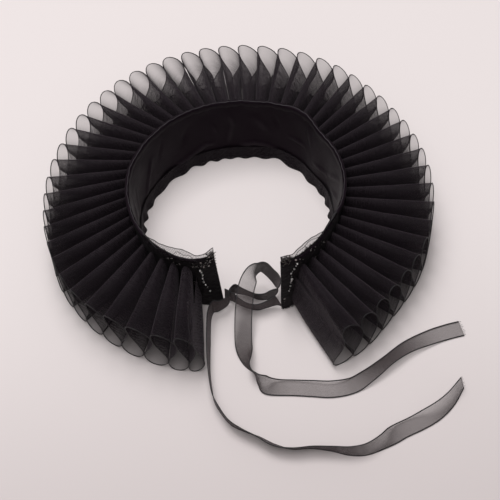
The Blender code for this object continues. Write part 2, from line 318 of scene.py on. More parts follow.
def axes_of(tree, vector):
    """The three parts of a vector, each as a field."""
    node = tree.nodes.new("ShaderNodeSeparateXYZ")
    feed(tree, vector, node.inputs[0])
    return [Field(tree, part) for part in node.outputs]


def store(tree, geometry, name, value, kind="FLOAT", domain="POINT"):
    """Keeps a value on the geometry under a name."""
    settings = {"data_type": kind, "domain": domain}
    return add_node(tree, "GeometryNodeStoreNamedAttribute", settings=settings,
                    geometry=geometry, name=name, value=value)


def stored(tree, name, kind="FLOAT"):
    """Reads back a value that the geometry keeps."""
    return add_node(tree, "GeometryNodeInputNamedAttribute", settings={"data_type": kind}, name=name)


def circle(tree, sides, radius):
    return add_node(tree, "GeometryNodeCurvePrimitiveCircle", resolution=sides, radius=radius)


def new_tree(name, inputs):
    """A Geometry Nodes tree with named inputs; returns it and a field for each input."""
    tree = bpy.data.node_groups.new(name, "GeometryNodeTree")
    tree.interface.new_socket("Geometry", in_out="INPUT", socket_type="NodeSocketGeometry")
    for label, (kind, _value) in inputs.items():
        tree.interface.new_socket(label, in_out="INPUT", socket_type="NodeSocket" + kind)
    tree.interface.new_socket("Geometry", in_out="OUTPUT", socket_type="NodeSocketGeometry")
    entry = tree.nodes.new("NodeGroupInput")
    return tree, {s.name: Field(tree, s) for s in entry.outputs if s.name}


def finish_tree(tree, geometry, material):
    """Ends a tree in Realize Instances and Set Material."""
    real = add_node(tree, "GeometryNodeRealizeInstances", geometry=geometry)
    painted = add_node(tree, "GeometryNodeSetMaterial", geometry=real, material=material)
    leave = tree.nodes.new("NodeGroupOutput")
    tree.links.new(painted.socket, leave.inputs[0])


def grow(name, start, tree, inputs):
    """Runs a tree on a start mesh and returns the result as one plain mesh object."""
    item = add_object(name, start)
    modifier = item.modifiers.new(tree.name, "NODES")
    modifier.node_group = tree
    names = {s.name: s.identifier for s in tree.interface.items_tree if s.in_out == "INPUT"}
    for label, (_kind, value) in inputs.items():
        modifier[names[label]] = value
    ready = item.evaluated_get(bpy.context.evaluated_depsgraph_get())
    made = bpy.data.meshes.new_from_object(ready)
    item.modifiers.remove(modifier)
    item.data = made
    made.name = name
    print(name, "has", len(made.vertices), "points and", len(made.polygons), "faces")
    return item


# %% The floor's paint, with painted light and shade
paint_tree = floor_paint.node_tree
# Painted light: the floor's colour runs from darker in front to paler at the back, standing in for the
# lamps' light falling off across the table.
floor_spot = axes_of(paint_tree, add_node(paint_tree, "ShaderNodeTexCoord", output=3))
painted_falloff_share = add_node(paint_tree, "ShaderNodeMapRange", settings={"interpolation_type": "SMOOTHSTEP"},
                       value=floor_spot[1], from_min=PAINTED_FALLOFF_RUN[0], from_max=PAINTED_FALLOFF_RUN[1])
floor_tone_with_painted_falloff = add_node(paint_tree, "ShaderNodeMix", output=0, settings={"data_type": "RGBA"},
                      factor=painted_falloff_share, a=(*FLOOR_FRONT_WITH_PAINTED_SHADE, 1.0), b=(*FLOOR_BACK_WITH_PAINTED_LIGHT, 1.0))
feed(paint_tree, floor_tone_with_painted_falloff, floor_shader.inputs["Base Color"])
print("the floor grows paler from front to back")

# %% [markdown]
# ## Sheer cloth
# Organza is a plain weave of fine, stiff threads with gaps between them, so one layer is
# nearly clear and several layers are black. A ray that meets the cloth at a slant passes more
# threads, so the layer looks denser. Here the alpha of the surface is the share that the
# threads cover: it grows with the slant, and two sets of fine threads along the cloth's own
# directions break it up. Real threads could be modelled, but there would be millions of them.

# %% Cloth materials
THREAD_PITCH = 0.62 * MM
SLANT_LIMIT = 0.16
DENSEST = 0.995


def new_material(name, colour, roughness, look=()):
    """A material with its colour, roughness and any other values of its shader by name."""
    material = bpy.data.materials.new(name)
    material.use_nodes = True
    shader = material.node_tree.nodes["Principled BSDF"]
    shader.inputs["Base Color"].default_value = (*colour, 1.0)
    shader.inputs["Roughness"].default_value = roughness
    for label, value in dict(look).items():
        shader.inputs[label].default_value = value
    return material, material.node_tree, shader


def cloth_place(tree):
    """The place on the cloth, in metres along and across it."""
    return add_node(tree, "ShaderNodeUVMap", settings={"uv_map": "UVMap"})


def mark_of(tree, name):
    """A mark on the points of a sheet, as its material reads it."""
    return add_node(tree, "ShaderNodeAttribute", output=2, settings={"attribute_name": name})


def add_relief(tree, shader, strength, distance, height):
    bump = add_node(tree, "ShaderNodeBump", strength=strength, distance=distance, height=height)
    feed(tree, bump, shader.inputs["Normal"])


def thread_weave(tree):
    """The cover of two crossing sets of threads along the cloth's UV, from -1 to 1."""
    spot = cloth_place(tree)
    bend = add_node(tree, "ShaderNodeTexNoise", vector=spot, scale=260.0, detail=1.0)
    waves = []
    for part in axes_of(tree, spot)[:2]:
        place = part / THREAD_PITCH + bend * 0.5
        waves.append((place * (2 * math.pi)).math("SINE"))
    return waves[0] * 0.5 + waves[1] * 0.5, spot


def sheer_material(name, colour, roughness, see_through, folded=None, weave=0.10, moire=0.10, sheen=0.05):
    """Sheer cloth: see_through is the light that passes one face met straight on.

    Where the attribute "folded" is 1 the cloth lies in tight creases and passes the share
    given as folded, with the wavy bands that two crossing weaves show."""
    material, tree, shader = new_material(name, colour, roughness, {
        "Sheen Weight": sheen,
        "Sheen Roughness": 0.5,
        "Sheen Tint": (1.0, 0.86, 0.96, 1.0),
        "Specular IOR Level": 0.15,
    })
    facing = add_node(tree, "ShaderNodeLayerWeight", output=1, blend=0.5)
    gaps = (facing * -1.0 + 1.0).math("MAXIMUM", SLANT_LIMIT).math("POWER", -1.0)
    threads, spot = thread_weave(tree)
    clear = math.log(see_through)
    bands = moire
    if folded:
        share = mark_of(tree, "folded")
        clear = share * (math.log(folded) - clear) + clear
        bands = share * (moire * 2.0) + moire * 0.2
    passed = (gaps * clear).math("EXPONENT")
    wave = add_node(tree, "ShaderNodeTexWave", settings={"bands_direction": "DIAGONAL"},
                    output=1, vector=spot, scale=150.0, distortion=6.0, detail=1.0, detail_scale=2.5)
    cover = passed * -1.0 + 1.0
    cover = cover * (threads * weave + (wave - 0.5) * bands + 1.0)
    feed(tree, cover.math("MINIMUM", DENSEST), shader.inputs["Alpha"])
    add_relief(tree, shader, 0.25, 0.00006, threads)
    return material


ORGANZA_COLOUR = (0.0145, 0.0098, 0.0132)
organza = sheer_material("black_organza", ORGANZA_COLOUR, 0.7, see_through=0.72, folded=0.42, moire=0.2)
edging = sheer_material("organza_edging", (0.0075, 0.0045, 0.0068), 0.7, see_through=0.14, sheen=0.02)
ribbon_cloth = sheer_material(
    "organza_ribbon", (0.056, 0.043, 0.044), 0.6, see_through=0.785, folded=0.14, weave=0.55, moire=0.10)


def thread_material(name, colour, roughness=0.6):
    """Plain dark thread with a little unevenness along it."""
    material, tree, shader = new_material(name, colour, roughness)
    spot = add_node(tree, "ShaderNodeTexCoord", output=3)
    rough = add_node(tree, "ShaderNodeTexNoise", vector=spot, scale=900.0, detail=2.0)
    feed(tree, rough * 0.3 + (roughness - 0.15), shader.inputs["Roughness"])
    add_relief(tree, shader, 0.3, 0.0001, rough)
    return material


selvedge_thread = thread_material("selvedge_thread", (0.005, 0.004, 0.005))
print("materials:", [m.name for m in bpy.data.materials if not m.name.startswith("pale")])

# %% [markdown]
# ## The ribbon ties
# Each tie is 10 mm organza ribbon, sewn to one end of the neckband. A ribbon bends easily
# across its face and hardly at all across its width, so a flat strip that only turns about
# its own middle line looks right, and a cloth simulation would lose the shape that is wanted.
# The route is a short list of places, with the direction across the ribbon at each. Thin
# dark tubes along both sides are the woven edges, which show as fine lines.

# %% The ties' routes
TIE_LEFT = Table(
    "point x y clear across_x across_y across_z",
    (0, -14.7, -52.5, 4.0, 0.00, 0.00, 1.00),
    (1, -12.4, -54.8, 4.0, 0.00, 0.00, 1.00),
    (2, -14.4, -58.2, 4.0, 0.02, 0.01, 1.00),
    (3, -19.2, -60.8, 4.2, 0.05, 0.06, 1.00),
    (4, -22.9, -61.4, 4.6, -0.05, 0.19, 0.98),
    (5, -25.4, -66.8, 5.0, -0.16, 0.09, 0.96),
    (6, -26.8, -74.3, 5.0, -0.20, 0.02, 0.95),
    (7, -27.9, -82.4, 4.4, -0.22, -0.06, 0.94),
    (8, -28.9, -90.5, 2.9, -0.20, -0.15, 0.94),
    (9, -29.7, -98.6, 1.1, -0.15, -0.15, 0.97),
    (10, -29.9, -108.0, 0.1, -0.13, -0.06, 0.99),
    (11, -29.4, -117.9, 0.1, -0.12, -0.03, 0.99),
    (12, -26.5, -126.5, 0.1, -0.14, -0.07, 0.99),
    (13, -22.2, -134.4, 0.1, -0.18, -0.16, 0.97),
    (14, -15.7, -139.9, 0.1, -0.20, -0.30, 0.93),
    (15, -8.1, -144.9, 0.1, -0.25, -0.38, 0.89),
    (16, -0.1, -151.1, 0.1, -0.26, -0.46, 0.85),
    (17, 9.3, -154.7, 0.1, -0.10, -0.39, 0.91),
    (18, 20.3, -155.5, 0.1, -0.06, -0.34, 0.94),
    (19, 31.0, -157.9, 0.1, -0.05, -0.20, 0.98),
    (20, 40.5, -160.6, 0.1, 0.02, 0.02, 1.00),
    (21, 49.9, -160.7, 0.1, -0.02, 0.25, 0.97),
    (22, 60.2, -156.7, 0.1, -0.24, 0.50, 0.83),
    (23, 70.4, -150.4, 0.1, -0.48, 0.86, 0.16),
    (24, 81.2, -146.4, 0.1, -0.42, 0.89, 0.16),
    (25, 92.6, -142.1, 0.1, -0.40, 0.68, 0.61),
    (26, 101.7, -135.9, 0.1, -0.42, 0.38, 0.83),
    (27, 110.1, -126.8, 0.4, -0.25, 0.14, 0.96),
)
TIE_RIGHT = Table(
    "point x y clear across_x across_y across_z",
    (0, 15.6, -61.4, 3.5, -0.31, 0.10, 0.95),
    (1, 12.9, -60.6, 2.4, -0.28, -0.08, 0.96),
    (2, 8.1, -61.5, 1.1, -0.16, -0.20, 0.97),
    (3, 2.8, -62.0, 0.3, -0.10, -0.23, 0.97),
    (4, -2.2, -60.3, 0.3, -0.07, -0.27, 0.96),
    (5, -6.5, -57.5, 0.8, -0.01, -0.22, 0.98),
    (6, -9.9, -54.3, 1.6, 0.07, -0.15, 0.99),
    (7, -12.2, -52.6, 2.0, -0.00, -0.02, 1.00),
    (8, -9.5, -48.8, 1.7, 0.18, -0.00, 0.98),
    (9, -5.5, -49.7, 0.8, 0.07, -0.21, 0.98),
    (10, -0.8, -52.0, 0.4, -0.11, -0.26, 0.96),
    (11, 3.7, -54.9, 0.5, -0.15, -0.23, 0.96),
    (12, 8.6, -55.9, 1.0, -0.15, -0.18, 0.97),
    (13, 12.7, -54.7, 2.0, -0.10, -0.10, 0.99),
    (14, 16.2, -52.3, 4.2, 0.15, -0.20, 0.97),
    (15, 15.8, -48.1, 6.4, 0.33, -0.15, 0.93),
    (16, 12.7, -44.6, 9.0, 0.33, -0.17, 0.93),
    (17, 9.0, -42.0, 11.4, 0.25, -0.05, 0.97),
    (18, 4.7, -43.2, 11.4, -0.12, 0.10, 0.99),
    (19, 0.6, -48.1, 12.6, -0.76, 0.33, 0.56),
    (20, -2.6, -54.5, 12.2, -0.93, 0.24, 0.26),
    (21, -4.5, -62.2, 11.4, -0.97, 0.19, 0.13),
    (22, -6.0, -68.8, 9.2, -0.98, 0.19, 0.05),
    (23, -7.7, -80.7, 3.8, -0.99, 0.09, -0.10),
    (24, -8.0, -87.8, 1.4, -0.91, -0.04, -0.41),
    (25, -7.4, -95.6, 0.1, -0.45, -0.16, -0.88),
    (26, -5.6, -103.2, 0.1, 0.30, 0.07, -0.95),
    (27, -2.8, -109.5, 0.2, -0.17, 0.06, -0.98),
    (28, 1.2, -112.8, 0.3, -0.48, -0.70, -0.53),
    (29, 7.6, -113.8, 0.1, -0.17, -0.98, -0.14),
    (30, 16.5, -115.1, 0.1, -0.17, -0.98, -0.07),
    (31, 26.4, -117.1, 0.1, -0.19, -0.97, -0.14),
    (32, 37.4, -119.2, 0.1, -0.03, -0.98, -0.21),
    (33, 49.0, -118.0, 0.1, 0.27, -0.96, -0.05),
    (34, 60.7, -112.6, 0.1, 0.40, -0.87, 0.28),
    (35, 72.3, -105.4, 0.1, 0.28, -0.83, 0.48),
    (36, 84.7, -98.0, 0.1, 0.33, -0.89, 0.32),
    (37, 98.6, -92.9, 0.1, 0.27, -0.96, 0.08),
    (38, 109.0, -90.4, 0.1, 0.19, -0.98, 0.0),
    (39, 117.8, -89.1, 0.1, 0.14, -0.99, 0.0),
)

# A ribbon that is pulled tight folds along its length, so it passes less light.
FOLDS_LEFT = Table(
    "point folded",
    (0, 0.95),
    (10, 0.90),
    (14, 0.80),
    (18, 0.55),
    (21, 0.15),
    (27, 0.0),
)
FOLDS_RIGHT = Table(
    "point folded",
    (0, 0.90),
    (12, 0.90),
    (14, 0.70),
    (17, 0.50),
    (19, 0.02),
    (21, 0.05),
    (24, 0.15),
    (27, 0.12),
    (30, 0.0),
    (33, 0.03),
    (35, 0.18),
    (37, 0.02),
    (39, 0.0),
)

# %% Ribbons
RIBBON_WIDTH = 10.0 * MM
RIBBON_WALL = 1.0 * MM
RIBBON_SHEET = 0.25 * MM
RIBBON_STEPS = 8
RIBBON_STRIPS = 8
SELVEDGE = 0.33 * MM
CUT_THREADS = 9
CUT_LENGTH = 1.6 * MM
CUT_THREAD = 0.09 * MM
CUT_SIDES = 3


def unit(vectors):
    return vectors / np.linalg.norm(vectors, axis=-1, keepdims=True)


def ribbon_frames(route):
    """Points along a tie, with the direction of its width and of its thickness."""
    last = len(route.rows) - 1
    place = np.linspace(0.0, last, last * RIBBON_STEPS + 1)
    x = RING_CENTRE[0] + route.at(place, "x") * MM
    y = RING_CENTRE[1] + route.at(place, "y") * MM
    clear = route.at(place, "clear") * MM
    along = unit(np.gradient(np.stack([x, y, clear], axis=1), axis=0))
    across = np.stack([route.at(place, "across_" + axis) for axis in "xyz"], axis=1)
    width = unit(across - along * np.sum(across * along, axis=1, keepdims=True))
    thick = np.cross(along, width)
    half_height = np.abs(width[:, 2]) * RIBBON_WIDTH / 2 + np.abs(thick[:, 2]) * RIBBON_WALL / 2
    return np.stack([x, y, clear + half_height], axis=1), width, thick


def add_uv(mesh, places):
    """Gives each corner the UV of its point, in metres of cloth."""
    layer = mesh.uv_layers.new(name="UVMap")
    for loop in mesh.loops:
        layer.data[loop.index].uv = places[loop.vertex_index]


def strip_mesh(name, rings, places):
    """A closed strip through equal rings of points, capped at both ends."""
    count = len(rings[0])
    faces = []
    for k in range(len(rings) - 1):
        for i in range(count):
            j = (i + 1) % count
            faces.append((k * count + i, k * count + j, (k + 1) * count + j, (k + 1) * count + i))
    faces.append(tuple(range(count)))
    faces.append(tuple(range((len(rings) - 1) * count, len(rings) * count)))
    mesh = plain_mesh(name, [p for one in rings for p in one], faces=faces)
    work = bmesh.new()
    work.from_mesh(mesh)
    bmesh.ops.recalc_face_normals(work, faces=work.faces)
    work.to_mesh(mesh)
    work.free()
    add_uv(mesh, places)
    mesh.shade_smooth()
    return mesh


def make_ribbon(name, route, folds):
    """The ribbon's own strip: a thin wall with its UV along and across it."""
    middle, width, thick = ribbon_frames(route)
    length = np.concatenate([[0.0], np.cumsum(np.linalg.norm(np.diff(middle, axis=0), axis=1))])
    side = np.linspace(1.0, -1.0, RIBBON_STRIPS + 1)
    rings, places = [], []
    for spot, across, through, run in zip(middle, width, thick, length):
        for face, sides in ((1, side), (-1, side[::-1])):
            for s in sides:
                offset = across * s * RIBBON_WIDTH / 2 + through * face * RIBBON_SHEET / 2
                places.append((run, s * RIBBON_WIDTH / 2))
                rings.append(spot + offset)
    count = 2 * (RIBBON_STRIPS + 1)
    grid = np.array(rings).reshape(len(middle), count, 3)
    mesh = strip_mesh(name, grid, places)
    share = np.repeat(folds.at(np.linspace(0.0, len(route.rows) - 1, len(middle)), "folded"), count)
    mark(mesh, "folded", np.clip(share, 0, 1))
    mesh.materials.append(ribbon_cloth)
    return mesh, middle, width, length[-1]


def tube_along(points, radius, sides=4):
    """Rings of points round a line, for a thin tube."""
    along = unit(np.gradient(points, axis=0))
    up = np.tile([0.0, 0.0, 1.0], (len(points), 1))
    level = unit(np.cross(along, up) + [1e-6, 0, 0])
    lift = np.cross(level, along)
    turn = np.linspace(0, 2 * np.pi, sides, endpoint=False)[:, None] + np.pi / 4
    return [p + radius * (np.cos(turn) * a + np.sin(turn) * b) for p, a, b in zip(points, level, lift)]


def selvedge_tube(name, line, radius, sides=4):
    """A closed thin tube of selvedge thread along a line."""
    rings = np.array(tube_along(line, radius, sides))
    mesh = strip_mesh(name, rings, [(0.0, 0.0)] * (len(rings) * sides))
    mesh.materials.append(selvedge_thread)
    return mesh


def join_meshes(name, meshes):
    """One mesh from several, keeping each one's material and UV."""
    items = [add_object(name, mesh) for mesh in meshes]
    with bpy.context.temp_override(active_object=items[0], selected_editable_objects=items):
        bpy.ops.object.join()
    items[0].name = name
    return items[0]


def make_tie(name, route, folds):
    mesh, middle, width, length = make_ribbon(name, route, folds)
    parts = [mesh]
    for s in (1, -1):
        line = middle + width * s * (RIBBON_WIDTH / 2 - SELVEDGE / 2)
        parts.append(selvedge_tube(name + "_edge", line, SELVEDGE))
    end = unit(middle[-1] - middle[-2])
    for k in range(CUT_THREADS):
        s = -0.9 + 1.8 * k / (CUT_THREADS - 1)
        root = middle[-1] + width[-1] * s * RIBBON_WIDTH / 2
        reach = CUT_LENGTH * (0.4 + 0.6 * abs(math.sin(5.3 * k + 1.0)))
        lean = 0.35 * math.sin(3.1 * k)
        tip = root + reach * (end + lean * width[-1])
        line = np.array([root, (root + tip) / 2, tip])
        parts.append(selvedge_tube(name + "_thread", line, CUT_THREAD, CUT_SIDES))
    tie = join_meshes(name + "_ribbon", parts)
    settle(tie, name)
    print(name, "is %.0f mm long" % (length / MM))


make_tie("tie_left", TIE_LEFT, FOLDS_LEFT)
make_tie("tie_right", TIE_RIGHT, FOLDS_RIGHT)

# %% [markdown]
# ## The ruffle
# One strip of organza, nearly four and a half metres long, runs up and down round the
# neckband. Seen from its free edge it makes a row of figure-of-eight loops: an arch at the
# top, a pinched waist where neighbours touch, and an arch at the foot. That is a rule, so
# Geometry Nodes make it: each point of a flat grid is moved by a formula of its place along
# the strip. Four guide lines, at the top and foot of the seam and of the free edge, carry the
# collar's plan.

# %% Guide lines
FLUTES = 50
RUFFLE_WIDTH = 50.0 * MM
FIRST_SEAM = 36.0
LAST_SEAM = 333.5
GUIDE_STEPS = 4
SEAM_GAP = 0.3 * MM
BAND_OUT = 0.8 * MM
LACE_OUT = 2.0 * MM
LACE_LEFT_END = 62.0
LACE_RIGHT_START = 300.0
LACE_MARGIN = 8
LACE_FADE = 6
TOP_AT_SEAM = 40.0 * MM
TOP_AT_EDGE = 38.1 * MM
LEAN = 1.9 * MM
END_SPREAD = 2.2

RUFFLE_EDGE = Table(
    "flute round top foot",
    (-1, 20.0, 104.5, 102.5),
    (0, 24.5, 106.8, 104.5),
    (3, 45.9, 113.4, 108.6),
    (5, 59.4, 116.4, 111.0),
    (8, 77.4, 115.0, 112.8),
    (11, 94.8, 112.6, 110.6),
    (15, 121.2, 110.2, 108.2),
    (20, 152.4, 109.4, 107.8),
    (25, 183.5, 109.6, 108.2),
    (30, 215.6, 111.4, 110.0),
    (34, 240.0, 110.6, 109.8),
    (38, 263.6, 113.2, 112.4),
    (42, 290.0, 113.6, 113.6),
    (46, 315.2, 110.2, 110.6),
    (49, 333.8, 111.9, 112.6),
    (50, 340.5, 111.0, 111.6),
)


def lace_cover(angle):
    """1 over the lace ends, 0 where the ruffle is sewn straight to the neckband."""
    left = np.clip((LACE_LEFT_END + LACE_MARGIN - angle) / LACE_FADE, 0, 1)
    right = np.clip((angle - LACE_RIGHT_START + LACE_MARGIN) / LACE_FADE, 0, 1)
    return np.maximum(left, right)


def guide_lines():
    """Four lines of points: seam foot, seam top, edge foot, edge top, with the tops leaning left."""
    flute = np.linspace(-1, FLUTES, (FLUTES + 1) * GUIDE_STEPS + 1)
    seam = FIRST_SEAM + (LAST_SEAM - FIRST_SEAM) * flute / (FLUTES - 1)
    seam = seam - END_SPREAD * np.clip(-flute, 0, 1)
    out = BAND_OUT + SEAM_GAP + (LACE_OUT - BAND_OUT) * lace_cover(seam)
    lines = [band_point(seam, height, out) for height in (0.0, TOP_AT_SEAM)]
    angle = RUFFLE_EDGE.at(flute, "round")
    for reach, height, lean in (("foot", 0.0, -LEAN), ("top", TOP_AT_EDGE, LEAN)):
        radius = RUFFLE_EDGE.at(flute, reach) * MM
        turned = angle + np.degrees(lean / radius) * np.cos(np.radians(angle))
        spot = plan_point(turned, radius)
        lines.append(np.concatenate([spot, np.full((len(spot), 1), height)], axis=1))
    return lines


lines = guide_lines()
guide_count = len(lines[0])
guides = plain_mesh("guides", [p for line in lines for p in line])
print("guide lines:", len(lines), "of", guide_count, "points")

# %% The flutes' tree
flute_inputs = {
    "Flutes": ("Int", FLUTES),
    "Steps per Flute": ("Int", 36),
    "Rows": ("Int", 19),
    "Guide Steps": ("Int", GUIDE_STEPS),
    "Free End": ("Float", 0.86),
    "Loop at Seam": ("Float", 0.26),
    "Loop at Edge": ("Float", 0.367),
    "Top Stretch": ("Float", 0.35),
    "Top at Seam": ("Float", TOP_AT_SEAM),
    "Top at Edge": ("Float", TOP_AT_EDGE),
    "Foot at Seam": ("Float", 2.4 * MM),
    "Foot at Edge": ("Float", 0.15 * MM),
    "Foot Run": ("Float", 0.34),
    "Lean": ("Float", 0.09),
    "Uneven Loop": ("Float", 0.016),
    "Uneven Top": ("Float", 1.4 * MM),
    "Ripple": ("Float", 0.9 * MM),
    "Waist Shift": ("Float", 4.4 * MM),
    "Seed": ("Float", 3.0),
    "Material": ("Material", organza),
}


def lerp(tree, share, first, last):
    """A vector part of the way from one to another."""
    return add_node(tree, "ShaderNodeMix", settings={"data_type": "VECTOR"}, factor=share, a=first, b=last)


def vector_of(tree, x, y=0.0, z=0.0):
    return add_node(tree, "ShaderNodeCombineXYZ", x=x, y=y, z=z)


def wander(tree, place, seed):
    """A smooth random line from -0.5 to 0.5, always the same for the same seed."""
    spot = vector_of(tree, place, seed)
    noise = add_node(tree, "ShaderNodeTexNoise", settings={"noise_dimensions": "2D"},
                     vector=spot, scale=1.0, detail=1.0)
    return noise - 0.5


def build_flutes():
    tree, given = new_tree("flutes", flute_inputs)
    span = given["Flutes"] - 1.0 + given["Free End"] * 2.0
    columns = span * given["Steps per Flute"]
    grid = add_node(tree, "GeometryNodeMeshGrid", size_x=1.0, size_y=1.0,
                    vertices_x=columns, vertices_y=given["Rows"])
    spot = add_node(tree, "GeometryNodeInputPosition")
    x, y, _z = axes_of(tree, spot)
    flute = (x + 0.5) * span - given["Free End"]
    station = y + 0.5

    turn = flute * (2 * math.pi)
    seed = given["Seed"]
    closed = (station * -1.0 + 1.0).math("POWER", 3.0)
    loop = given["Loop at Edge"] + (given["Loop at Seam"] - given["Loop at Edge"]) * closed
    loop = loop + wander(tree, flute * 0.8, seed + 7.0) * given["Uneven Loop"] * station
    along = flute + loop * (turn * 2.0).math("SINE")
    along = along + wander(tree, flute * 0.9, seed) * given["Lean"] * station * station
    cosine = turn.math("COSINE")
    sine = turn.math("SINE")
    level = cosine - given["Top Stretch"] * sine * sine * (cosine + 1.0) * 0.5
    share = (level + 1.0) * 0.5
    top = given["Top at Seam"] + (given["Top at Edge"] - given["Top at Seam"]) * station
    dip = (wander(tree, flute * 1.1, seed + 13.0) + 0.5) * given["Uneven Top"] * station
    run = (station / given["Foot Run"]).math("MINIMUM", 1.0)
    foot = given["Foot at Seam"] + (given["Foot at Edge"] - given["Foot at Seam"]) * run
    height = foot + (top - dip - foot) * share

    last = (given["Flutes"] + 1.0) * given["Guide Steps"]
    place = ((along + 1.0) * given["Guide Steps"]).clamp(0.0, last - 0.001)
    whole = place.math("FLOOR")
    part = place - whole
    per_line = last + 1.0

    def on_line(line):
        ends = []
        for step in (0.0, 1.0):
            index = whole + per_line * float(line) + step
            ends.append(add_node(tree, "GeometryNodeSampleIndex", settings={"data_type": "FLOAT_VECTOR"},
                                 geometry=given["Geometry"], value=spot, index=index))
        return lerp(tree, part, *ends)

    seam = lerp(tree, height / given["Top at Seam"], on_line(0), on_line(1))
    edge = lerp(tree, height / given["Top at Edge"], on_line(2), on_line(3))
    plan = lerp(tree, station, seam, edge)
    x, y, _z = axes_of(tree, plan)
    side = y * y / (x * x + y * y)
    middle = share * (share * -1.0 + 1.0) * 4.0
    x = x + side * middle * station * given["Waist Shift"]
    target = vector_of(tree, x, y, height)

    # Creased places: the walls between the arches, and everything nearer the seam.
    inner = (station * -1.0 + 0.85) / 0.40
    wall = (level.math("ABSOLUTE") * -1.0 + 0.85) * 1.1
    folded = inner.math("MAXIMUM", wall).clamp(0.0, 1.0)

    # What later nodes need is stored before the points move.
    kept = store(tree, grid, "hem", station.math("GREATER_THAN", 0.999), "BOOLEAN")
    kept = store(tree, kept, "station", station)
    kept = store(tree, kept, "folded", folded)
    moved = add_node(tree, "GeometryNodeSetPosition", geometry=kept, position=target)

    # Soft ripples across the walls, none at the seam.
    noise = add_node(tree, "ShaderNodeTexNoise", vector=spot, scale=70.0, detail=1.0)
    reach = stored(tree, "station")
    push = (noise - 0.5) * given["Ripple"] * reach
    normal = add_node(tree, "GeometryNodeInputNormal")
    offset = add_node(tree, "ShaderNodeVectorMath", settings={"operation": "SCALE"},
                      vector=normal, scale=push)
    rippled = add_node(tree, "GeometryNodeSetPosition", geometry=moved, offset=offset)

    # The UV is the cloth's own length along and across the strip, in metres.
    index = add_node(tree, "GeometryNodeInputIndex")
    before = (index - given["Rows"]).math("MAXIMUM", 0.0)
    previous = add_node(tree, "GeometryNodeFieldAtIndex",
                        settings={"data_type": "FLOAT_VECTOR", "domain": "POINT"}, index=before, value=spot)
    distance = tree.nodes.new("ShaderNodeVectorMath")
    distance.operation = "DISTANCE"
    feed(tree, spot, distance.inputs[0])
    feed(tree, previous, distance.inputs[1])
    length = Field(tree, distance.outputs["Value"])
    row = index.math("MODULO", given["Rows"])
    total = add_node(tree, "GeometryNodeAccumulateField", settings={"data_type": "FLOAT", "domain": "POINT"},
                     value=length, group_id=row)
    uv = vector_of(tree, total, reach * RUFFLE_WIDTH)
    mapped = store(tree, rippled, "UVMap", uv, "FLOAT2", "CORNER")
    smooth = add_node(tree, "GeometryNodeSetShadeSmooth", geometry=mapped, shade_smooth=True)
    finish_tree(tree, smooth, given["Material"])
    return tree


ruffle = grow("ruffle_organza", guides, build_flutes(), flute_inputs)
settle(ruffle, "ruffle")

# %% [markdown]
# ## Threads along an edge
# Every edge of the organza has a selvedge, a few stronger threads that show as a fine dark
# line. The sheets carry a mark, named hem, on the points of such an edge. One small tree turns
# the marked edges into a curve and sweeps a thin round profile along it, so the same tree can
# make a piping cord from any line of points.

# %% The thread tree
thread_inputs = {
    "Radius": ("Float", 0.2 * MM),
    "Sides": ("Int", 4),
    "Material": ("Material", selvedge_thread),
}


def build_thread():
    tree, given = new_tree("thread_along_hem", thread_inputs)
    marked = stored(tree, "hem", "BOOLEAN")
    line = add_node(tree, "GeometryNodeMeshToCurve", mesh=given["Geometry"], selection=marked)
    profile = circle(tree, given["Sides"], given["Radius"])
    tube = add_node(tree, "GeometryNodeCurveToMesh", curve=line, profile_curve=profile, fill_caps=True)
    smooth = add_node(tree, "GeometryNodeSetShadeSmooth", geometry=tube, shade_smooth=True)
    finish_tree(tree, smooth, given["Material"])
    return tree


thread_tree = build_thread()


def add_thread(name, sheet, radius, material):
    """A thread along the marked edge of a sheet's mesh, as a piece of its own."""
    values = dict(thread_inputs, Radius=("Float", radius), Material=("Material", material))
    thread = grow(name, sheet.copy(), thread_tree, values)
    return settle(thread)


def line_mesh(name, points):
    """A line of points whose every point is marked as hem."""
    mesh = plain_mesh(name, points, [(i, i + 1) for i in range(len(points) - 1)])
    mark(mesh, "hem", [True] * len(points), "BOOLEAN")
    return mesh


def sheet_mesh(name, grid, material):
    """A sheet through a grid of points, column by column, with UV in metres and a hem at its end."""
    columns, rows = grid.shape[:2]
    faces = []
    for c in range(columns - 1):
        for r in range(rows - 1):
            k = c * rows + r
            faces.append((k, k + rows, k + rows + 1, k + 1))
    mesh = plain_mesh(name, grid.reshape(-1, 3), faces=faces)
    along = np.linalg.norm(np.diff(grid, axis=0), axis=2).mean(axis=1)
    across = np.linalg.norm(np.diff(grid, axis=1), axis=2).mean(axis=0)
    run = np.concatenate([[0.0], np.cumsum(along)])
    rise = np.concatenate([[0.0], np.cumsum(across)])
    add_uv(mesh, [(u, v) for u in run for v in rise])
    hem = np.zeros((columns, rows), bool)
    hem[:, -1] = True
    mark(mesh, "hem", hem.ravel(), "BOOLEAN")
    mesh.materials.append(material)
    mesh.shade_smooth()
    return mesh


ruffle_selvedge = add_thread("ruffle_selvedge", ruffle.data, 0.29 * MM, selvedge_thread)

# %% [markdown]
# ## The neckband
# The neckband is satin over a stiffener, folded over at the top and bound inside with a
# narrow strip. It is lofted round the plan from one section, up the outside and down the
# inside. Soft creases, each a line between two places with a width and a depth, are pushed
# into the inner wall: a sculpted mesh could have them too, but a list can be checked against
# the cloth. A thin cord runs along the fold and catches the light.

